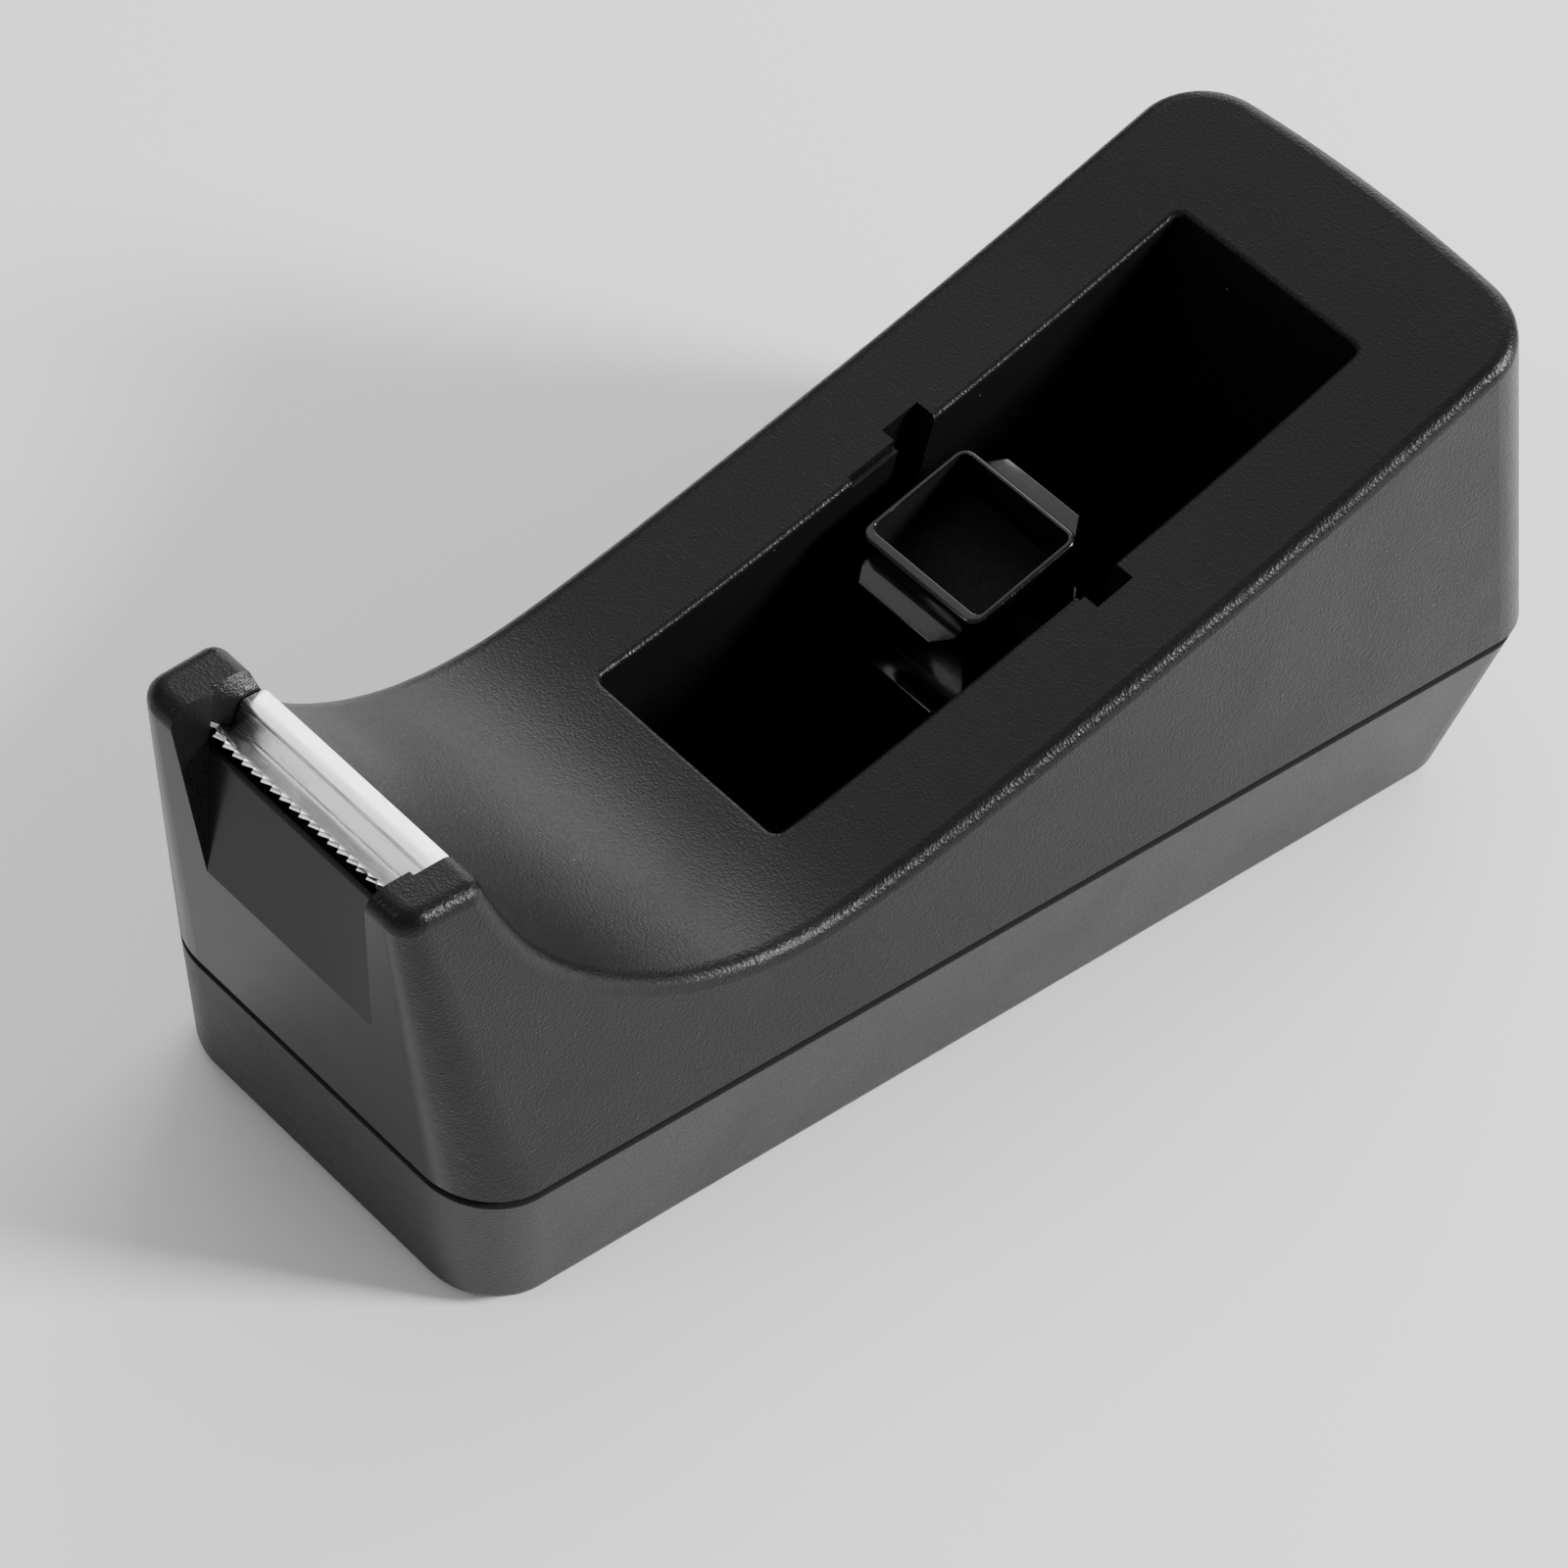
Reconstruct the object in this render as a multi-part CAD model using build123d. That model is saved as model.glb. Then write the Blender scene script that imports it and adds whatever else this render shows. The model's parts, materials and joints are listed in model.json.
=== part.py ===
from build123d import *
import math
import os

# Desktop tape dispenser for 19 mm tape on 25 mm cores, with its roll taken out.
# X is the width, Y the length with the cutting nose towards -Y, Z is up.
# The origin is on the desk, under the middle of the dispenser's outline.

# ---- outline of the two shells (mm) ----
tray_bottom = 0.8            # the moulded base stands this far off the desk, on its pad
parting_z = 18.9             # lower edge of the upper shell
parting_gap = 0.7            # reveal between shell and tray
top_section_z = 76.0         # the outline is lofted to here and then trimmed by the top curve
half_width_mid = 25.7        # at the parting line, at y = 0
width_taper = 0.048          # the plan widens towards the back, per side
side_draft = 0.1237          # upper shell side slope
tray_side_inset = 0.5        # base half width is this much less at the bottom
front_at_parting = -68.2
front_lean = 0.2805          # the nose leans forward going up
front_at_bottom = -63.8
back_at_parting = 79.2
back_lean = 0.32             # the back leans forward going up
back_at_bottom = 73.3
back_bow = 1.8               # the back is gently bowed in plan
front_corner_low = 7.5
front_corner_high = 2.2
back_corner = 8.0
wall = 2.2
tray_wall = 3.4
tray_floor = 4.0
lip_height = 1.6             # the tray's lip stands up inside the shell
lip_clearance = 0.2
edge_round = 1.8

# ---- top curve, seen from the side: (y, z) from the nose to the back ----
top_curve = [
    (-71.2, 61.4), (-66.6, 53.2), (-60.6, 45.7), (-54.6, 40.9), (-48.6, 37.3), (-42.6, 34.7),
    (-36.6, 33.1), (-30.6, 32.5), (-24.6, 32.9), (-18.6, 34.0), (-12.6, 35.4), (-0.6, 38.6),
    (11.4, 42.1), (23.4, 45.8), (43.4, 52.9), (51.0, 55.9), (57.0, 58.3), (66.5, 61.9), (84.0, 68.0),
]
cheek_top = 60.2

# ---- tape well and axle slots ----
well_half_width = 12.0
well_front = -24.3
well_back = 50.95
well_floor = 6.0
well_wall = 1.8
well_floor_skin = 1.6
well_edge_round = 0.6
well_corner = 1.0
axle_y = 16.35
axle_z = 31.2
axle_radius = 2.1
axle_half_length = 14.2
slot_half_width = 2.3
slot_half_span = 14.5
guide_half_span = 16.4
seat_gap = 0.05
lead_in_length = 6.0
lead_in_width = 0.8
lead_in_depth = 0.8

# ---- nose, cheeks and blade seat ----
cheek_inner = 12.8
blade_half_width = 12.7
blade_thickness = 0.45
land_top = 56.4
land_back = -68.2
land_front = -70.9
web_foot = (-71.3, 53.7)
lip_tip = (-74.5, 55.5)
ledge = (-74.75, 53.7)
ledge_round = 0.4
recess_foot_z = 38.5         # the front recess runs out into the nose's face here
recess_half_top = 12.3       # between the cheeks' front edges, at the top
recess_half_foot = 10.8
tooth_pitch = 1.2
tooth_depths = (0.95, 0.7)
cavity_nose_y = -57.0
cavity_nose_z = 36.0

# ---- tape hub ----
hub_offset_x = -1.2          # the hub floats sideways on its axle
hub_tilt = 18.0              # it lies turned with its front down
hub_half_x = 7.95
hub_half_y = 7.4
hub_half_z = 9.2
hub_wall = 0.95
hub_corner = 1.6
hub_web = 2.9
hub_bore = axle_radius + 0.05
fin_level = 6.3
fin_thickness = 0.9
fin_reach = 10.3
fin_root_half = 6.3
fin_tip_half = 4.85

# ---- inside the base ----
pad_inset = 4.0
pad_recess = 1.0
screw_places = [(-14.0, -55.5), (14.0, -55.5), (-19.0, 62.5), (19.0, 62.5)]
screw_shank = 1.4
screw_head = 2.7
screw_head_height = 1.5
screw_clearance = 1.6
pilot_radius = 1.45
boss_radius = 3.3
boss_split = 9.0
boss_top = 29.0
rib_half = 0.8
pilot_top = 22.0
screw_tip = 19.5
ballast_top = 17.5
front_ballast_box = (-49.0, -29.0, 15.0)
rear_ballast_box = (55.5, 70.0, 13.5)

wide = 200.0


def half_width(y, z):
    if z >= parting_z:
        return half_width_mid + width_taper * y - side_draft * (z - parting_z)
    share = (parting_z - z) / (parting_z - tray_bottom)
    return half_width_mid + width_taper * y - tray_side_inset * share


def front_y(z):
    if z >= parting_z:
        return front_at_parting - front_lean * (z - parting_z)
    share = (parting_z - z) / (parting_z - tray_bottom)
    return front_at_parting + (front_at_bottom - front_at_parting) * share


def back_y(z):
    if z >= parting_z:
        return back_at_parting - back_lean * (z - parting_z)
    share = (parting_z - z) / (parting_z - tray_bottom)
    return back_at_parting + (back_at_bottom - back_at_parting) * share


def outline(z, inset):
    """Rounded trapezoid with a bowed back, at height z and moved inwards by inset."""
    low = front_y(z) + inset
    high = back_y(z) - inset
    rise = max(0.0, (z - parting_z) / (cheek_top - parting_z))
    front_corner = front_corner_low + (front_corner_high - front_corner_low) * rise
    fl = (-half_width(low, z) + inset, low)
    fr = (half_width(low, z) - inset, low)
    shoulder = high - back_bow
    br = (half_width(shoulder, z) - inset, shoulder)
    bl = (-half_width(shoulder, z) + inset, shoulder)
    sides = Polyline(bl, fl, fr, br)
    bow = ThreePointArc(br, (0, high), bl)
    face = make_face([*sides.edges(), bow])
    front_points = [v for v in face.vertices() if v.Y < low + 1]
    back_points = [v for v in face.vertices() if v.Y > low + 1]
    face = fillet(front_points, max(front_corner - inset, 0.8))
    back_points = [v for v in face.vertices() if v.Y > 0 and abs(abs(v.X) - abs(br[0])) < 0.01]
    face = fillet(back_points, max(back_corner - inset, 0.8))
    return Pos(0, 0, z) * face


def body(z_low, z_high, inset):
    return loft([outline(z_low, inset), outline(z_high, inset)], ruled=True)


def side_prism(points, half_x):
    """A YZ outline run along X."""
    face = make_face(Polyline(*[(-half_x, y, z) for y, z in points], close=True))
    return extrude(face, amount=2 * half_x, dir=(1, 0, 0))


def under_top(drop):
    """Everything below the top curve, lowered by drop."""
    reach = 60
    curve = Spline(*[(-reach, y, z - drop) for y, z in top_curve])
    start = curve @ 0
    end = curve @ 1
    rest = Polyline(end, (-reach, end.Y, -20), (-reach, -120, -20), (-reach, -120, start.Z), start)
    face = make_face([curve, *rest.edges()])
    return extrude(face, amount=2 * reach, dir=(1, 0, 0))


def block(x0, x1, y0, y1, z0, z1):
    return Pos((x0 + x1) / 2, (y0 + y1) / 2, (z0 + z1) / 2) * Box(x1 - x0, y1 - y0, z1 - z0)


def upright(x, y, radius, z0, z1):
    return Pos(x, y, (z0 + z1) / 2) * Cylinder(radius, z1 - z0)


def make_outer():
    solid = body(parting_z, top_section_z, 0) & under_top(0)
    solid -= block(-wide, wide, -wide, -55, cheek_top, wide)
    solid = solid.solids().sort_by(SortBy.VOLUME)[-1]
    rim = [e for e in solid.edges() if e.center().Z > parting_z + 5 and not is_corner_line(e)]
    return fillet(rim, edge_round)


def is_corner_line(edge):
    """True for the lines that run up the rounded corners of the outline."""
    a, b = edge @ 0, edge @ 1
    return min(a.Z, b.Z) < parting_z + 0.01


def make_shell():
    outer = make_outer()
    cavity = body(parting_z, top_section_z, wall) & under_top(wall)
    cavity -= block(-wide, wide, -wide, cavity_nose_y, cavity_nose_z, wide)
    cavity -= block(-wide, wide, -wide, wide, cheek_top - wall, wide)
    shell = outer - cavity
    well_block = block(
        -well_half_width - well_wall, well_half_width + well_wall,
        well_front - well_wall, well_back + well_wall,
        well_floor - well_floor_skin, top_section_z,
    )
    guides = block(
        -guide_half_span, guide_half_span,
        axle_y - slot_half_width - well_wall, axle_y + slot_half_width + well_wall,
        axle_z - slot_half_width - 2, top_section_z,
    )
    below_curve = under_top(wall / 2)
    shell += (well_block & below_curve) + (guides & below_curve)
    well = block(-well_half_width, well_half_width, well_front, well_back, well_floor, top_section_z)
    shell -= fillet(well.edges().filter_by(Axis.Z), well_corner)
    shell = fillet([e for e in shell.edges() if is_well_edge(e)], well_edge_round)
    for x, y in screw_places:
        shell += upright(x, y, boss_radius, boss_split + 0.1, boss_top)
        side = math.copysign(1, x)
        ends = sorted((x, side * (half_width(y, boss_top) - wall / 2)))
        shell += block(*ends, y - rib_half, y + rib_half, parting_z + 0.3, boss_top)
    seat_z = axle_z + slot_half_width - axle_radius - seat_gap
    slot = block(
        -slot_half_span, slot_half_span,
        axle_y - slot_half_width, axle_y + slot_half_width, seat_z, top_section_z,
    )
    slot += Pos(0, axle_y, seat_z) * Rot(0, 90, 0) * Cylinder(slot_half_width, 2 * slot_half_span)
    shell -= slot
    lead_front = axle_y - slot_half_width - lead_in_length
    lead = block(
        -well_half_width - lead_in_width, well_half_width + lead_in_width,
        lead_front, axle_y, parting_z + 5, top_section_z,
    )
    shell -= lead - under_top(lead_in_depth)
    for x, y in screw_places:
        shell -= upright(x, y, pilot_radius, boss_split, pilot_top)
    return shell - (blade_seat() + front_recess())


def is_well_edge(edge):
    """True for the four edges where the tape well opens through the top."""
    middle = edge.center()
    if middle.Z < well_floor + 20:
        return False
    on_side = abs(abs(middle.X) - well_half_width) < 0.01
    on_end = min(abs(middle.Y - well_front), abs(middle.Y - well_back)) < 0.01 and abs(middle.X) < 0.01
    return (on_side and edge.length > 40) or (on_end and edge.length > 20)


def blade_seat():
    """The room between the cheeks for the blade and the ledge in front of it."""
    under = blade_thickness + 0.02
    third = 0.29 * ledge_round
    points = [
        (ledge[0], cheek_top + 10), (-60, cheek_top + 10), (-60, land_top - under),
        (land_front + 0.6, land_top - under), (web_foot[0] + 0.6, web_foot[1] - 0.75),
        (web_foot[0] - 0.9, web_foot[1] - 0.75), (ledge[0] + ledge_round, ledge[1]),
        (ledge[0] + third, ledge[1] - third), (ledge[0], ledge[1] - ledge_round),
    ]
    return side_prism(points, cheek_inner)


def front_recess():
    """The hollow front of the nose, narrowing downwards until it runs out into the face."""
    foot_y = front_y(recess_foot_z)
    slope = (ledge[0] - foot_y) / (ledge[1] - recess_foot_z)
    high, low = cheek_top + 10, recess_foot_z - 1
    taper = (recess_half_top - recess_half_foot) / (cheek_top - recess_foot_z)
    sections = []
    for z in (low, ledge[1]):
        half = recess_half_foot + taper * (z - recess_foot_z)
        back = foot_y + slope * (z - recess_foot_z)
        corners = [(-half, back, z), (half, back, z), (half, -90, z), (-half, -90, z)]
        sections.append(make_face(Polyline(*corners, close=True)))
    lower = loft(sections, ruled=True)
    sections = []
    for z in (ledge[1], high):
        half = recess_half_foot + taper * (z - recess_foot_z)
        corners = [(-half, ledge[0], z), (half, ledge[0], z), (half, -90, z), (-half, -90, z)]
        sections.append(make_face(Polyline(*corners, close=True)))
    return lower + loft(sections, ruled=True)


def make_tray():
    tray = body(tray_bottom, parting_z - parting_gap, 0)
    bottom_rim = tray.faces().sort_by(Axis.Z)[0].edges()
    tray = fillet(bottom_rim, 1.6)
    top_rim = tray.faces().sort_by(Axis.Z)[-1].edges()
    tray = fillet(top_rim, 0.5)
    lip_inset = wall + lip_clearance
    tray += body(parting_z - 4, parting_z, lip_inset) + body(parting_z, parting_z + lip_height, lip_inset)
    tray -= body(tray_floor, parting_z, tray_wall) + body(parting_z, parting_z + 2 * lip_height, tray_wall)
    tray -= pad_shape(0.1, tray_bottom - 1, tray_bottom + pad_recess)
    for x, y in screw_places:
        tray += upright(x, y, boss_radius, tray_floor - 1, boss_split)
        tray -= upright(x, y, screw_clearance, 0, boss_split + 1)
        tray -= upright(x, y, screw_head + 0.2, 0, tray_bottom + pad_recess + screw_head_height + 0.1)
    return tray


def pad_shape(grow, z_low, z_high):
    face = outline(tray_bottom, pad_inset - grow)
    return extrude(Pos(0, 0, z_low - tray_bottom) * face, amount=z_high - z_low)


def make_screws():
    screws = []
    head_low = tray_bottom + pad_recess + 0.1
    for x, y in screw_places:
        screw = upright(x, y, screw_head, head_low, head_low + screw_head_height)
        screw += upright(x, y, screw_shank, head_low, screw_tip)
        drive = Pos(x, y, head_low) * (Box(3.2, 0.7, 1.4) + Box(0.7, 3.2, 1.4))
        screws.append((screw - drive).solids()[0])
    return Compound(children=screws)


def make_ballast(y0, y1, half_x):
    ballast = block(-half_x, half_x, y0, y1, tray_floor, ballast_top)
    return fillet(ballast.edges().filter_by(Axis.Z), 2.5)


def thicken(points, thickness):
    """Points of a bent strip's upper side, closed with its lower side."""
    lower = []
    for i, point in enumerate(points):
        before = points[max(i - 1, 0)]
        after = points[min(i + 1, len(points) - 1)]
        normals = []
        for start, end in ((before, point), (point, after)):
            dy, dz = end[0] - start[0], end[1] - start[1]
            length = math.hypot(dy, dz)
            if length > 0:
                normals.append((-dz / length, dy / length))
        ny = sum(n[0] for n in normals) / len(normals)
        nz = sum(n[1] for n in normals) / len(normals)
        scale = thickness / (ny * ny + nz * nz)
        lower.append((point[0] + ny * scale, point[1] + nz * scale))
    return points + lower[::-1]


def make_blade():
    upper = [(land_back, land_top), (land_front, land_top), web_foot, lip_tip]
    strip = side_prism(thicken(upper, blade_thickness), blade_half_width)
    bends = [e for e in strip.edges().filter_by(Axis.X) if land_front - 0.8 > e.center().Y > lip_tip[0] + 1]
    bends += [e for e in strip.edges().filter_by(Axis.X) if abs(e.center().Y - land_front) < 0.6]
    strip = fillet(list(dict.fromkeys(bends)), 0.35)
    run_y, run_z = lip_tip[0] - web_foot[0], lip_tip[1] - web_foot[1]
    length = math.hypot(run_y, run_z)
    forward = Vector(0, run_y / length, run_z / length)
    normal = Vector(1, 0, 0).cross(forward)
    tip_plane = Plane(origin=(0, lip_tip[0], lip_tip[1]), x_dir=(1, 0, 0), z_dir=normal)
    count = int(2 * blade_half_width / tooth_pitch)
    sign = 1 if tip_plane.y_dir.dot(forward) > 0 else -1
    gullets = []
    for i in range(count + 1):
        x = (i - count / 2) * tooth_pitch
        depth = tooth_depths[i % 2]
        triangle = make_face(Polyline(
            (x - tooth_pitch / 2, 0.3 * sign), (x + tooth_pitch / 2, 0.3 * sign), (x, -depth * sign),
            close=True,
        ))
        gullets.append(extrude(tip_plane * triangle, amount=1.5, both=True))
    return strip - gullets


def make_hub():
    box = Box(2 * hub_half_x, 2 * hub_half_y, 2 * hub_half_z)
    box = fillet(box.edges().filter_by(Axis.Z), hub_corner)
    inner = Box(2 * (hub_half_x - hub_wall), 2 * (hub_half_y - hub_wall), 2 * hub_half_z)
    inner = fillet(inner.edges().filter_by(Axis.Z), hub_corner - 0.8)
    box -= Pos(0, 0, hub_half_z + hub_web) * inner
    box -= Pos(0, 0, -hub_half_z - hub_web) * inner
    rims = [e for e in box.edges() if abs(abs(e.center().Z) - hub_half_z) < 0.01]
    box = fillet(rims, 0.3)
    for side in (-1, 1):
        for level in (-fin_level, fin_level):
            root = side * (hub_half_y - 0.5)
            tip = side * fin_reach
            face = make_face(Polyline(
                (-fin_root_half, root), (fin_root_half, root), (fin_root_half, side * (hub_half_y + 0.9)),
                (fin_tip_half, tip), (-fin_tip_half, tip), (-fin_root_half, side * (hub_half_y + 0.9)),
                close=True,
            ))
            fin = extrude(Pos(0, 0, level - fin_thickness / 2) * face, amount=fin_thickness)
            box += fin
    box -= Rot(0, 90, 0) * Cylinder(hub_bore, 4 * hub_half_x)
    return Pos(hub_offset_x, axle_y, axle_z) * Rot(hub_tilt, 0, 0) * box


def make_axle():
    rod = Rot(0, 90, 0) * Cylinder(axle_radius, 2 * axle_half_length)
    rod = chamfer(rod.edges().filter_by(GeomType.CIRCLE), 0.4)
    return Pos(0, axle_y, axle_z) * rod


nodes = {
    "upper_shell": make_shell(),
    "base_tray": make_tray(),
    "cutter_blade": make_blade(),
    "hub_core": make_hub(),
    "hub_axle": make_axle(),
    "front_ballast": make_ballast(*front_ballast_box),
    "rear_ballast": make_ballast(*rear_ballast_box),
    "base_screws": make_screws(),
    "desk_pad": pad_shape(0, 0, tray_bottom + pad_recess),
}

os.makedirs("parts", exist_ok=True)
for name, shape in nodes.items():
    export_step(shape, f"parts/{name}.step")
    box = shape.bounding_box()
    print(name, len(shape.solids()), "solids", round(shape.volume), "mm3", box.min, box.max)
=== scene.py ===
import bmesh
import bpy
import json
import math
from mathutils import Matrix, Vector

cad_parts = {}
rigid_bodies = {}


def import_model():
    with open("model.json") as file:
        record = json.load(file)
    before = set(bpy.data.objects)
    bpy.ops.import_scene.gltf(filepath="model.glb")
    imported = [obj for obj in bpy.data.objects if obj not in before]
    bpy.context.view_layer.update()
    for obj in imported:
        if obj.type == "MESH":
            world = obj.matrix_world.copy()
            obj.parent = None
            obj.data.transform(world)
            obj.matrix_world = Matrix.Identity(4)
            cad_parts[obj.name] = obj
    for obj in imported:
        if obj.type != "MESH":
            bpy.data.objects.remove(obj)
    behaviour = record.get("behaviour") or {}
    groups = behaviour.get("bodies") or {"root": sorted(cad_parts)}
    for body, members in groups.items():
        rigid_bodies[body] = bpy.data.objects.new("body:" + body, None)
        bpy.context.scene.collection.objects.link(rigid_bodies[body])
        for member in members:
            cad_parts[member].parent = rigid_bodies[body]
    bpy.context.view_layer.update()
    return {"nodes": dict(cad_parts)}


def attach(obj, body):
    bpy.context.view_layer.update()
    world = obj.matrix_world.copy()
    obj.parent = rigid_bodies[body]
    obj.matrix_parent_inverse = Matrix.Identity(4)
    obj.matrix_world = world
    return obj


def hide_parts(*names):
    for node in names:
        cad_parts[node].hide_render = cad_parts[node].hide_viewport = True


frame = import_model()
print("frame loaded")


# node helpers
def nodeAt(tree, kind, x, y, **values):
    node = tree.nodes.new(kind)
    node.location = (x, y)
    for name, value in values.items():
        setattr(node, name, value)
    return node


def feed(tree, value, socket):
    # another node's output is linked, and a plain number or colour is set
    if isinstance(value, bpy.types.NodeSocket):
        tree.links.new(value, socket)
    else:
        socket.default_value = value


def mathNode(tree, operation, first, second, x, y):
    node = nodeAt(tree, "ShaderNodeMath", x, y, operation=operation)
    feed(tree, first, node.inputs[0])
    feed(tree, second, node.inputs[1])
    return node.outputs[0]


def ramp(tree, source, low, high, x, y, fromMin=0.0, fromMax=1.0):
    node = nodeAt(tree, "ShaderNodeMapRange", x, y)
    node.inputs["From Min"].default_value = fromMin
    node.inputs["From Max"].default_value = fromMax
    node.inputs["To Min"].default_value = low
    node.inputs["To Max"].default_value = high
    tree.links.new(source, node.inputs["Value"])
    return node.outputs["Result"]


def colourMix(tree, factor, first, second, x, y):
    node = nodeAt(tree, "ShaderNodeMix", x, y, data_type="RGBA")
    tree.links.new(factor, node.inputs["Factor"])
    for name, value in (("A", first), ("B", second)):
        feed(tree, (*value, 1) if isinstance(value, tuple) else value, node.inputs[name])
    return node.outputs["Result"]


def texture(tree, kind, vector, x, y, **values):
    node = nodeAt(tree, kind, x, y)
    tree.links.new(vector, node.inputs["Vector"])
    for name, value in values.items():
        feed(tree, value, node.inputs[name])
    return node


# effects that several materials share
def newGroup(name, inputs, outputs):
    group = bpy.data.node_groups.new(name, "ShaderNodeTree")
    for label, value in inputs.items():
        socket = group.interface.new_socket(
            name=label, in_out="INPUT", socket_type="NodeSocketFloat"
        )
        socket.default_value = value
    for label in outputs:
        group.interface.new_socket(name=label, in_out="OUTPUT", socket_type="NodeSocketFloat")
    start = nodeAt(group, "NodeGroupInput", -900, 0)
    end = nodeAt(group, "NodeGroupOutput", 700, 0)
    place = nodeAt(group, "ShaderNodeTexCoord", -900, 250)
    return group, start.outputs, end.inputs, place.outputs["Object"]


def makeSparkGrain():
    # fine pebbled texture that spark erosion leaves in a mould, with slow patches of depth
    group, start, end, place = newGroup(
        "sparkGrain", {"Grain Size": 3200.0, "Patch Size": 45.0}, ["Height", "Speckle", "Patches"]
    )
    size = start["Grain Size"]
    fine = texture(
        group, "ShaderNodeTexNoise", place, -600, 250, Scale=size, Detail=2.0, Roughness=0.6
    )
    pits = texture(group, "ShaderNodeTexVoronoi", place, -600, 0, Scale=size)
    wide = texture(
        group, "ShaderNodeTexNoise", place, -600, -300, Scale=start["Patch Size"], Detail=3.0
    )
    pebbled = mathNode(
        group, "MULTIPLY", fine.outputs["Fac"], pits.outputs["Distance"], -300, 150
    )
    speckle = ramp(group, fine.outputs["Fac"], 0.0, 1.0, -300, -50, 0.42, 0.68)
    group.links.new(pebbled, end["Height"])
    group.links.new(speckle, end["Speckle"])
    group.links.new(wide.outputs["Fac"], end["Patches"])
    return group


def makeFineScratches():
    # hairlines from handling, in two crossing directions
    group, start, end, place = newGroup(
        "fineScratches", {"Scratch Size": 160.0, "Width": 0.006}, ["Scratches"]
    )
    lines = []
    for turn, y in ((0.5, 200), (-0.9, -150)):
        stretch = texture(
            group, "ShaderNodeMapping", place, -750, y,
            Rotation=(turn, 0.3, turn), Scale=(0.12, 2.5, 2.5),
        )
        noise = texture(
            group, "ShaderNodeTexNoise", stretch.outputs["Vector"], -550, y,
            Scale=start["Scratch Size"], Detail=1.0,
        )
        # a line runs where the noise crosses one level
        offset = mathNode(group, "SUBTRACT", noise.outputs["Fac"], 0.56, -350, y)
        distance = mathNode(group, "ABSOLUTE", offset, 0.0, -200, y)
        lines.append(mathNode(group, "LESS_THAN", distance, start["Width"], -50, y))
    group.links.new(mathNode(group, "MAXIMUM", *lines, 200, 0), end["Scratches"])
    return group


def makeHandlingMarks():
    # cloudy smears that change the gloss where fingers touch
    group, start, end, place = newGroup("handlingMarks", {"Smear Size": 70.0}, ["Smears"])
    noise = texture(
        group, "ShaderNodeTexNoise", place, -550, 0,
        Scale=start["Smear Size"], Detail=5.0, Distortion=1.2,
    )
    smears = ramp(group, noise.outputs["Fac"], 0.0, 1.0, -300, 0, 0.42, 0.7)
    group.links.new(smears, end["Smears"])
    return group


def makeDustSpecks():
    # a few pale specks of dust, one in some of the cells
    group, start, end, place = newGroup(
        "dustSpecks", {"Cell Size": 260.0, "Speck Size": 0.035}, ["Specks"]
    )
    cells = texture(group, "ShaderNodeTexVoronoi", place, -600, 0, Scale=start["Cell Size"])
    near = mathNode(
        group, "LESS_THAN", cells.outputs["Distance"], start["Speck Size"], -350, 100
    )
    pick = nodeAt(group, "ShaderNodeSeparateColor", -400, -150)
    group.links.new(cells.outputs["Color"], pick.inputs["Color"])
    kept = mathNode(group, "LESS_THAN", pick.outputs["Red"], 0.3, -200, -100)
    group.links.new(mathNode(group, "MULTIPLY", near, kept, 0, 0), end["Specks"])
    return group


sparkGrain = makeSparkGrain()
fineScratches = makeFineScratches()
handlingMarks = makeHandlingMarks()
dustSpecks = makeDustSpecks()
print("shared effects ready")


# how plastic and metal finishes are put together
def newMaterial(name):
    material = bpy.data.materials.new(name)
    material.use_nodes = True
    tree = material.node_tree
    return material, tree, tree.nodes["Principled BSDF"]


def addEffect(tree, group, values, x, y):
    node = nodeAt(tree, "ShaderNodeGroup", x, y)
    node.node_tree = group
    for name, value in values.items():
        node.inputs[name].default_value = value
    return node.outputs


def splitAxes(tree, source, x, y):
    node = nodeAt(tree, "ShaderNodeSeparateXYZ", x, y)
    tree.links.new(source, node.inputs["Vector"])
    return node.outputs


def polishedFront(tree, values):
    # 1 on the nose front, which faces -Y forward of frontLine
    shape = nodeAt(tree, "ShaderNodeNewGeometry", -1500, -500)
    place = nodeAt(tree, "ShaderNodeTexCoord", -1500, -800)
    turned = splitAxes(tree, shape.outputs["Normal"], -1300, -500)["Y"]
    along = splitAxes(tree, place.outputs["Object"], -1300, -800)["Y"]
    facing = ramp(tree, turned, 1.0, 0.0, -1100, -500, *values["frontFacing"])
    forward = ramp(tree, along, 1.0, 0.0, -1100, -800, *values["frontLine"])
    return mathNode(tree, "MULTIPLY", facing, forward, -950, -650)


def paintedRimShade(tree, values):
    # 1 on the step under the shell, which is made matt and given a painted shade colour, so the
    # joint reads as a thin dark line
    place = nodeAt(tree, "ShaderNodeTexCoord", -1500, 700)
    height = splitAxes(tree, place.outputs["Object"], -1300, 700)["Z"]
    return ramp(tree, height, 0.0, 1.0, -1100, 700, *values["rimShadeLine"])


plasticWear = {
    "speckSize": 0.03, "scratchSize": 160.0, "scratchGloss": 0.16, "index": 1.45,
}


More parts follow.
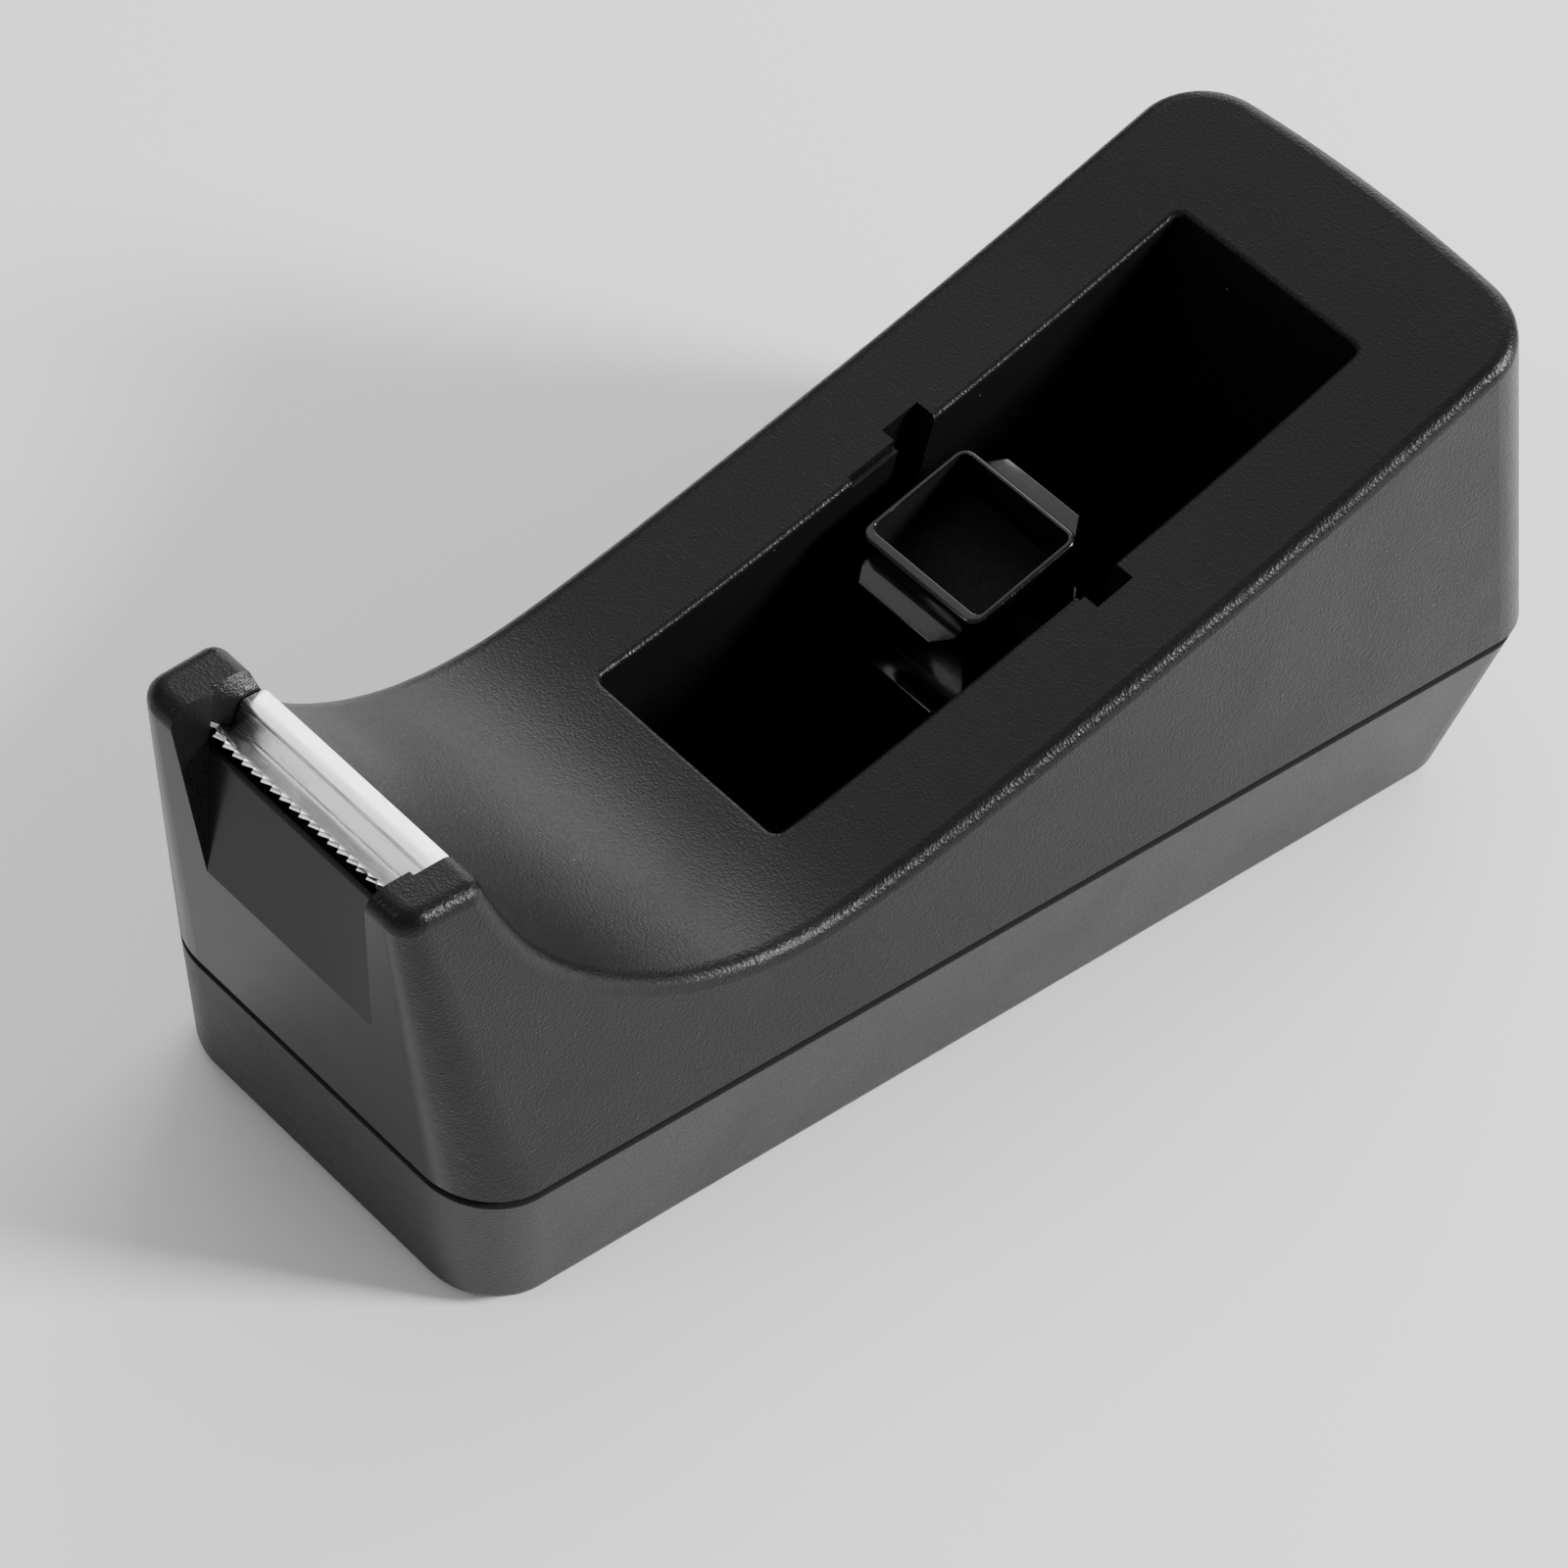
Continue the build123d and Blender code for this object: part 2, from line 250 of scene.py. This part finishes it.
def mouldedPlastic(name, values):
    material, tree, shader = newMaterial(name)
    sizes = {"Grain Size": values["grainSize"], "Patch Size": values["patchSize"]}
    grain = addEffect(tree, sparkGrain, sizes, -900, 0)
    dust = {"Cell Size": values["dustCells"], "Speck Size": plasticWear["speckSize"]}
    specks = addEffect(tree, dustSpecks, dust, -900, 450)["Specks"]
    smears = addEffect(tree, handlingMarks, {"Smear Size": values["smearSize"]}, -900, -200)
    colour = colourMix(tree, grain["Patches"], values["dark"], values["light"], -500, 250)
    colour = colourMix(tree, specks, colour, values["dust"], -250, 350)
    rough = ramp(tree, grain["Speckle"], values["roughLow"], values["roughHigh"], -500, 0)
    height = grain["Height"]
    if "frontGloss" in values:
        front = polishedFront(tree, values)
        textured = mathNode(tree, "SUBTRACT", 1.0, front, -800, -400)
        height = mathNode(tree, "MULTIPLY", height, textured, -550, -350)
        gloss = nodeAt(tree, "ShaderNodeMix", -250, 0, data_type="FLOAT")
        tree.links.new(front, gloss.inputs["Factor"])
        tree.links.new(rough, gloss.inputs["A"])
        gloss.inputs["B"].default_value = values["frontGloss"]
        rough = gloss.outputs["Result"]
    smeared = mathNode(tree, "MULTIPLY", smears["Smears"], values["smearGloss"], -250, -120)
    rough = mathNode(tree, "ADD", rough, smeared, -100, 0)
    if "rimShadeLine" in values:
        rim = paintedRimShade(tree, values)
        # at the joint under the shell the colour is darkened as painted shade, and the roughness is
        # raised to matt
        colour = colourMix(tree, rim, colour, values["rimPaintedShade"], 0, 450)
        matt = mathNode(tree, "MULTIPLY", rim, values["rimRough"], -100, 150)
        rough = mathNode(tree, "MAXIMUM", rough, matt, 50, 0)
    if "scratchWidth" in values:
        lines = {"Scratch Size": plasticWear["scratchSize"], "Width": values["scratchWidth"]}
        scratches = addEffect(tree, fineScratches, lines, -900, -700)["Scratches"]
        dulled = mathNode(tree, "MULTIPLY", scratches, plasticWear["scratchGloss"], -250, -700)
        rough = mathNode(tree, "ADD", rough, dulled, 50, -50)
    bump = nodeAt(tree, "ShaderNodeBump", -300, -250)
    bump.inputs["Distance"].default_value = values["grainDepth"]
    bump.inputs["Strength"].default_value = values["grainStrength"]
    tree.links.new(height, bump.inputs["Height"])
    tree.links.new(colour, shader.inputs["Base Color"])
    tree.links.new(rough, shader.inputs["Roughness"])
    tree.links.new(bump.outputs["Normal"], shader.inputs["Normal"])
    shader.inputs["IOR"].default_value = plasticWear["index"]
    shader.inputs["Specular IOR Level"].default_value = values["shine"]
    return material


metalWear = {
    "smearSize": 220.0, "smearGloss": 0.08, "scratchSize": 300.0, "scratchWidth": 0.006,
    "scratchGloss": 0.14, "bumpStrength": 0.4,
}


def bareMetal(name, values):
    material, tree, shader = newMaterial(name)
    wear = metalWear
    place = nodeAt(tree, "ShaderNodeTexCoord", -1200, 0)
    stretch = texture(
        tree, "ShaderNodeMapping", place.outputs["Object"], -1000, 0, Scale=values["brush"]
    )
    brushed = texture(
        tree, "ShaderNodeTexNoise", stretch.outputs["Vector"], -800, 0, Scale=1.0, Detail=4.0
    ).outputs["Fac"]
    colour = colourMix(tree, brushed, values["dark"], values["light"], -500, 250)
    rough = ramp(tree, brushed, values["roughLow"], values["roughHigh"], -500, 0)
    smears = addEffect(tree, handlingMarks, {"Smear Size": wear["smearSize"]}, -800, -300)
    smeared = mathNode(tree, "MULTIPLY", smears["Smears"], wear["smearGloss"], -450, -300)
    rough = mathNode(tree, "ADD", rough, smeared, -250, 0)
    lines = {"Scratch Size": wear["scratchSize"], "Width": wear["scratchWidth"]}
    scratches = addEffect(tree, fineScratches, lines, -800, -500)["Scratches"]
    dulled = mathNode(tree, "MULTIPLY", scratches, wear["scratchGloss"], -450, -500)
    rough = mathNode(tree, "ADD", rough, dulled, -100, 0)
    bump = nodeAt(tree, "ShaderNodeBump", -300, -250)
    bump.inputs["Distance"].default_value = values["depth"]
    bump.inputs["Strength"].default_value = wear["bumpStrength"]
    tree.links.new(brushed, bump.inputs["Height"])
    tree.links.new(colour, shader.inputs["Base Color"])
    tree.links.new(rough, shader.inputs["Roughness"])
    tree.links.new(bump.outputs["Normal"], shader.inputs["Normal"])
    shader.inputs["Metallic"].default_value = 1.0
    return material


# finishes, one dictionary for each piece; lengths are in metres, and sizes are cells per metre
shellValues = {
    "dark": (0.0035, 0.0035, 0.0038), "light": (0.006, 0.006, 0.0063),
    "grainSize": 3300.0, "patchSize": 40.0, "grainDepth": 0.000062, "grainStrength": 1.0,
    "roughLow": 0.37, "roughHigh": 0.27, "shine": 0.2,
    "frontGloss": 0.2, "frontFacing": (-0.93, -0.86), "frontLine": (-0.0605, -0.0595),
    "dust": (0.09, 0.09, 0.088), "dustCells": 230.0, "smearSize": 55.0, "smearGloss": 0.06,
}
trayValues = {
    "dark": (0.011, 0.011, 0.0115), "light": (0.016, 0.016, 0.0165),
    "grainSize": 3600.0, "patchSize": 60.0, "grainDepth": 0.00006, "grainStrength": 1.0,
    "roughLow": 0.45, "roughHigh": 0.36, "shine": 0.4,
    # the rim tone is painted shade for the joint under the shell; the rim roughness makes it matt
    "rimShadeLine": (0.01758, 0.0177), "rimPaintedShade": (0.0015, 0.0015, 0.0015), "rimRough": 0.96,
    "dust": (0.1, 0.1, 0.098), "dustCells": 220.0, "smearSize": 65.0, "smearGloss": 0.05,
}
hubValues = {
    "dark": (0.002, 0.002, 0.0022), "light": (0.003, 0.003, 0.0034),
    "grainSize": 900.0, "patchSize": 120.0, "grainDepth": 0.00001, "grainStrength": 0.3,
    "roughLow": 0.14, "roughHigh": 0.07, "shine": 0.5, "scratchWidth": 0.005,
    "dust": (0.1, 0.1, 0.1), "dustCells": 330.0, "smearSize": 180.0, "smearGloss": 0.08,
}
# inside the hub the base and dust colours are darker than outside, as painted shade in the hollow,
# and the finish is rougher
hubShadedInsideValues = {
    "dark": (0.001, 0.001, 0.001), "light": (0.0016, 0.0016, 0.0016),
    "grainSize": 2000.0, "patchSize": 120.0, "grainDepth": 0.00004, "grainStrength": 0.6,
    "roughLow": 0.7, "roughHigh": 0.6, "shine": 0.2,
    "dust": (0.06, 0.06, 0.06), "dustCells": 300.0, "smearSize": 150.0, "smearGloss": 0.05,
}
padValues = {
    "dark": (0.014, 0.014, 0.014), "light": (0.026, 0.026, 0.026),
    "grainSize": 1500.0, "patchSize": 90.0, "grainDepth": 0.00018, "grainStrength": 0.9,
    "roughLow": 0.93, "roughHigh": 0.85, "shine": 0.3,
    "dust": (0.12, 0.12, 0.115), "dustCells": 180.0, "smearSize": 80.0, "smearGloss": 0.04,
}
bladeValues = {
    "brush": (40.0, 900.0, 900.0), "dark": (0.72, 0.72, 0.73), "light": (0.86, 0.86, 0.87),
    "roughLow": 0.12, "roughHigh": 0.22, "depth": 0.000004,
}
ballastValues = {
    "brush": (500.0, 500.0, 500.0), "dark": (0.05, 0.048, 0.045), "light": (0.12, 0.115, 0.11),
    "roughLow": 0.55, "roughHigh": 0.8, "depth": 0.00012,
}
screwValues = {
    "brush": (300.0, 300.0, 300.0), "dark": (0.5, 0.5, 0.48), "light": (0.62, 0.62, 0.6),
    "roughLow": 0.25, "roughHigh": 0.4, "depth": 0.00001,
}
shellPlastic = mouldedPlastic("satinSparkPlastic", shellValues)
trayPlastic = mouldedPlastic("trayPlastic", trayValues)
hubPlastic = mouldedPlastic("glossHubPlastic", hubValues)
hubInsideShadePlastic = mouldedPlastic("hubInsideShadePlastic", hubShadedInsideValues)
padFoam = mouldedPlastic("padFoam", padValues)
bladeSteel = bareMetal("stampedBladeSteel", bladeValues)
castIron = bareMetal("rawCastIron", ballastValues)
screwSteel = bareMetal("zincScrewSteel", screwValues)
print("materials ready")


def dress(piece, material):
    piece.data.materials.clear()
    piece.data.materials.append(material)


finishes = {
    "upper_shell": shellPlastic, "base_tray": trayPlastic, "cutter_blade": bladeSteel,
    "hub_core": hubPlastic, "hub_axle": hubPlastic, "front_ballast": castIron,
    "rear_ballast": castIron, "base_screws": screwSteel, "desk_pad": padFoam,
}
for nodeName, finish in finishes.items():
    dress(frame["nodes"][nodeName], finish)
print("moulded pieces dressed")


# modelling helpers
def clearSelection():
    for thing in bpy.data.objects:
        thing.select_set(False)


def takeUp(piece):
    clearSelection()
    piece.select_set(True)
    bpy.context.view_layer.objects.active = piece


def editMode(piece):
    takeUp(piece)
    bpy.ops.object.mode_set(mode="EDIT")


def objectMode():
    bpy.ops.object.mode_set(mode="OBJECT")


def pickVerts(piece, test):
    bpy.ops.mesh.select_mode(type="VERT")
    bpy.ops.mesh.select_all(action="DESELECT")
    mesh = bmesh.from_edit_mesh(piece.data)
    for vert in mesh.verts:
        vert.select = test(vert.co)
    mesh.select_flush_mode()
    bmesh.update_edit_mesh(piece.data)


def pickEdges(piece, test):
    bpy.ops.mesh.select_mode(type="EDGE")
    bpy.ops.mesh.select_all(action="DESELECT")
    mesh = bmesh.from_edit_mesh(piece.data)
    for edge in mesh.edges:
        edge.select = test(edge.verts[0].co, edge.verts[1].co)
    bmesh.update_edit_mesh(piece.data)


def pickFaces(piece, test):
    bpy.ops.mesh.select_mode(type="FACE")
    bpy.ops.mesh.select_all(action="DESELECT")
    mesh = bmesh.from_edit_mesh(piece.data)
    for face in mesh.faces:
        face.select = test(face.calc_center_median(), face.normal)
    bmesh.update_edit_mesh(piece.data)


def level(first, second):
    return abs(first - second) < 1e-6


def extrude(*move):
    bpy.ops.mesh.extrude_region_move(TRANSFORM_OT_translate={"value": move})


def finishWith(piece, kind, **values):
    takeUp(piece)
    modifier = piece.modifiers.new(kind.lower(), kind)
    for name, value in values.items():
        setattr(modifier, name, value)
    bpy.ops.object.modifier_apply(modifier=modifier.name)


def roundEdges(piece, width, segments, degrees):
    finishWith(
        piece, "BEVEL", width=width, segments=segments, limit_method="ANGLE",
        angle_limit=math.radians(degrees),
    )


def join(piece, other, operation):
    finishWith(piece, "BOOLEAN", operation=operation, object=other, solver="EXACT")
    bpy.data.objects.remove(other)


def settle(piece):
    takeUp(piece)
    bpy.ops.object.transform_apply(location=True, rotation=True, scale=True)


def smooth(piece, degrees):
    takeUp(piece)
    bpy.ops.object.shade_smooth_by_angle(angle=math.radians(degrees))


def addBox(name, size, centre):
    clearSelection()
    bpy.ops.mesh.primitive_cube_add(size=1, location=centre)
    piece = bpy.context.object
    piece.name = name
    piece.scale = size
    settle(piece)
    return piece


# cutting blade: a flat land, a step down, and a lip with teeth
bladeShape = {
    "halfWidth": 0.0127, "back": -0.0682, "landFront": -0.0709, "landTop": 0.0564,
    "foot": (-0.0713, 0.0537), "tip": (-0.0745, 0.0555), "thickness": 0.00042,
    "teeth": 21, "deep": 0.00095, "shallow": 0.0007, "toothRoot": 0.62,
    "bend": 0.00035, "corner": 0.0007, "edge": 0.00003,
    "curl": 0.0006, "curlSteps": ((0.0021, 0.25), (0.0009, 0.75)), "curlLean": 0.1,
    "curlBack": 0.0012, "curlFrom": 0.001, "bendSegments": 5,
}


def makeBlade(v):
    columns = 2 * v["teeth"]
    halfWidth = v["halfWidth"]
    footY, footZ = v["foot"]
    tipY, tipZ = v["tip"]
    clearSelection()
    bpy.ops.mesh.primitive_grid_add(x_subdivisions=columns, y_subdivisions=1, size=1)
    blade = bpy.context.object
    blade.name = "toothed_blade"
    blade.scale = (2 * halfWidth, v["back"] - v["landFront"], 1)
    blade.location = (0, (v["back"] + v["landFront"]) / 2, v["landTop"])
    settle(blade)

    # the step down, then the lip in two rows, so that only the outer row takes teeth
    editMode(blade)
    pickEdges(blade, lambda a, b: level(a.y, v["landFront"]) and level(b.y, v["landFront"]))
    extrude(0, footY - v["landFront"], footZ - v["landTop"])
    rise = (0, tipY - footY, tipZ - footZ)
    shortRise = [v["toothRoot"] * step for step in rise]
    extrude(*shortRise)
    extrude(*[whole - part for whole, part in zip(rise, shortRise)])

    # every second column is pushed back, deep and shallow by turns
    pitch = 2 * halfWidth / columns
    length = math.hypot(rise[1], rise[2])
    for start, depth in ((1, v["deep"]), (3, v["shallow"])):
        wanted = set(range(start, columns, 4))
        pickVerts(
            blade, lambda c: level(c.y, tipY) and round((c.x + halfWidth) / pitch) in wanted
        )
        back = (0, -rise[1] / length * depth, -rise[2] / length * depth)
        bpy.ops.transform.translate(value=back)

    # the left corner of the lip curls up
    for reach, share in v["curlSteps"]:
        pickVerts(
            blade,
            lambda c: c.y < tipY + v["curlBack"] and c.z > footZ + v["curlFrom"]
            and c.x < reach - halfWidth,
        )
        lift = share * v["curl"]
        bpy.ops.transform.translate(value=(0, v["curlLean"] * lift, lift))

    pickEdges(
        blade,
        lambda a, b: a.y == b.y and (level(a.y, v["landFront"]) or level(a.y, footY)),
    )
    bpy.ops.mesh.bevel(offset=v["bend"], segments=v["bendSegments"], affect="EDGES")
    pickVerts(blade, lambda c: level(c.y, v["back"]) and level(abs(c.x), halfWidth))
    bpy.ops.mesh.bevel(
        offset=v["corner"], segments=v["bendSegments"], affect="VERTICES"
    )

    # the land faces up, so the thickness goes down from it
    bpy.ops.mesh.select_all(action="SELECT")
    bpy.ops.mesh.normals_make_consistent(inside=False)
    mesh = bmesh.from_edit_mesh(blade.data)
    land = [f for f in mesh.faces if f.calc_center_median().y > v["landFront"] + 0.0005]
    if land[0].normal.z < 0:
        bpy.ops.mesh.flip_normals()
    objectMode()
    finishWith(blade, "SOLIDIFY", thickness=v["thickness"], offset=-1)
    roundEdges(blade, v["edge"], 2, 40)
    smooth(blade, 30)
    dress(blade, bladeSteel)
    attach(blade, "base")
    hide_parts("cutter_blade")


makeBlade(bladeShape)
print("blade cut and bent")


# tape hub: a thin-walled box open above and below, with fins before and behind
hubShape = {
    "half": (0.00795, 0.0074, 0.0092), "corner": 0.0016, "lip": 0.0005, "edge": 0.00015,
    "rim": 0.00022, "frontRim": 0.0006, "depth": 0.0063, "bore": 0.00215, "boreLength": 0.03,
    "finLevel": 0.0063, "finThickness": 0.0009, "finRoot": 0.0063, "finTip": 0.00485,
    "finShoulder": 0.0083, "finReach": 0.0103, "finSink": 0.0005, "finEdge": 0.00018,
    "cornerSegments": 6, "lipSegments": 5, "boreSides": 64,
    "insideMargin": 0.0003, "insideDrop": 0.0006, "place": (-0.0012, 0.01635, 0.0312), "tilt": 18.0,
}


def makeFin(v, side, height):
    inner = v["half"][1] - v["finSink"]
    size = (2 * v["finRoot"], v["finShoulder"] - inner, v["finThickness"])
    fin = addBox("fin", size, (0, side * (inner + v["finShoulder"]) / 2, height))
    editMode(fin)
    pickFaces(fin, lambda c, n: n.y * side > 0.9)
    extrude(0, side * (v["finReach"] - v["finShoulder"]), 0)
    bpy.ops.transform.resize(value=(v["finTip"] / v["finRoot"], 1, 1))
    objectMode()
    roundEdges(fin, v["finEdge"], 3, 30)
    return fin


def paintShadeInside(hub, v):
    # the faces inside the box take the second material, which is matt and has darker colours
    # painted in as shade in the hollow
    halfX, halfY, halfZ = v["half"]
    placeX, placeY, placeZ = v["place"]
    turn = math.radians(v["tilt"])
    for face in hub.data.polygons:
        y, z = face.center.y - placeY, face.center.z - placeZ
        localY = y * math.cos(turn) + z * math.sin(turn)
        localZ = -y * math.sin(turn) + z * math.cos(turn)
        inPlan = (
            abs(face.center.x - placeX) < halfX - v["insideMargin"]
            and abs(localY) < halfY - v["insideMargin"]
        )
        if inPlan and abs(localZ) < halfZ - v["insideDrop"]:
            face.material_index = 1


def makeHub(v):
    halfX, halfY, halfZ = v["half"]
    hub = addBox("tape_hub", (2 * halfX, 2 * halfY, 2 * halfZ), (0, 0, 0))
    editMode(hub)
    pickEdges(hub, lambda a, b: abs(a.z - b.z) > halfZ)
    bpy.ops.mesh.bevel(offset=v["corner"], segments=v["cornerSegments"], affect="EDGES")
    pickEdges(hub, lambda a, b: level(a.z, b.z))
    bpy.ops.mesh.bevel(offset=v["lip"], segments=v["lipSegments"], affect="EDGES")

    # both ends are hollowed out to a web in the middle, with a thicker wall in front
    margin = v["lip"] + v["rim"] / 2
    for side in (1, -1):
        pickFaces(hub, lambda c, n: n.z * side > 0.99)
        bpy.ops.mesh.inset(thickness=v["rim"], depth=0)
        pickVerts(
            hub,
            lambda c: level(c.z, side * halfZ) and -halfY + margin < c.y < 0
            and abs(c.x) < halfX - margin,
        )
        bpy.ops.transform.translate(value=(0, v["frontRim"], 0))
        pickFaces(hub, lambda c, n: n.z * side > 0.99 and abs(c.x) < 1e-4 and abs(c.y) < 0.001)
        extrude(0, 0, -side * v["depth"])
    objectMode()
    roundEdges(hub, v["edge"], 3, 50)

    for side in (1, -1):
        for height in (v["finLevel"], -v["finLevel"]):
            join(hub, makeFin(v, side, height), "UNION")
    clearSelection()
    bpy.ops.mesh.primitive_cylinder_add(
        vertices=v["boreSides"], radius=v["bore"], depth=v["boreLength"],
        rotation=(0, math.pi / 2, 0),
    )
    join(hub, bpy.context.object, "DIFFERENCE")

    hub.rotation_euler = (math.radians(v["tilt"]), 0, 0)
    hub.location = v["place"]
    settle(hub)
    smooth(hub, 32)
    dress(hub, hubPlastic)
    # the second material is the hub plastic with painted shade, for the inside of the box
    hub.data.materials.append(hubInsideShadePlastic)
    paintShadeInside(hub, v)
    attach(hub, "hub")
    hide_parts("hub_core")


makeHub(hubShape)
print("hub moulded")


# floor, light and camera
studioValues = {
    "floorTone": (0.92, 0.92, 0.92), "floorSize": 6.0, "floorRough": 0.8, "floorShine": 0.1,
    "worldTone": (0.96, 0.97, 0.98), "worldStrength": 0.4,
}


def makeFloor(v):
    clearSelection()
    bpy.ops.mesh.primitive_plane_add(size=v["floorSize"], location=(0, 0, 0))
    floor = bpy.context.object
    floor.name = "studio_floor"
    material, tree, shader = newMaterial("paleFloor")
    shader.inputs["Base Color"].default_value = (*v["floorTone"], 1)
    shader.inputs["Roughness"].default_value = v["floorRough"]
    shader.inputs["Specular IOR Level"].default_value = v["floorShine"]
    dress(floor, material)


def makeWorld(v):
    world = bpy.data.worlds.new("studio")
    world.use_nodes = True
    backdrop = world.node_tree.nodes["Background"]
    backdrop.inputs["Color"].default_value = (*v["worldTone"], 1)
    backdrop.inputs["Strength"].default_value = v["worldStrength"]
    bpy.context.scene.world = world


lampValues = {
    "sideWindow": {"place": (0.88, 0.7, 0.66), "aim": (0, 0, 0.04),
        "size": (0.3, 0.3), "power": 30.0},
    "backPanel": {"place": (-0.62, 1.25, 0.75), "aim": (0, 0, 0.04),
        "size": (1.0, 1.1), "power": 15.0},
    "ceilingPanel": {"place": (-0.75, 0.25, 1.5), "aim": (0, 0, 0.03),
        "size": (1.5, 1.5), "power": 9.0},
    "frontFill": {"place": (-0.4, -1.4, 1.2), "aim": (0, 0, 0.02),
        "size": (0.4, 0.4), "power": 5.0},
}


def makeLamp(name, v):
    data = bpy.data.lights.new(name, "AREA")
    data.shape = "RECTANGLE"
    data.size, data.size_y = v["size"]
    data.energy = v["power"]
    lamp = bpy.data.objects.new(name, data)
    bpy.context.collection.objects.link(lamp)
    lamp.location = v["place"]
    toward = Vector(v["aim"]) - Vector(v["place"])
    lamp.rotation_euler = toward.to_track_quat("-Z", "Y").to_euler()


cameraValues = {
    "place": (0.1863, -0.2845, 0.3524), "turn": (43.942, -10.967, 45.076), "lens": 112.6,
    "sensor": 36.0,
}


def makeCamera(v):
    data = bpy.data.cameras.new("studioCamera")
    data.lens = v["lens"]
    data.sensor_width = v["sensor"]
    camera = bpy.data.objects.new("studioCamera", data)
    bpy.context.collection.objects.link(camera)
    camera.location = v["place"]
    camera.rotation_euler = [math.radians(angle) for angle in v["turn"]]
    bpy.context.scene.camera = camera


makeFloor(studioValues)
makeWorld(studioValues)
for lampName, lampSet in lampValues.items():
    makeLamp(lampName, lampSet)
makeCamera(cameraValues)
print("studio ready")
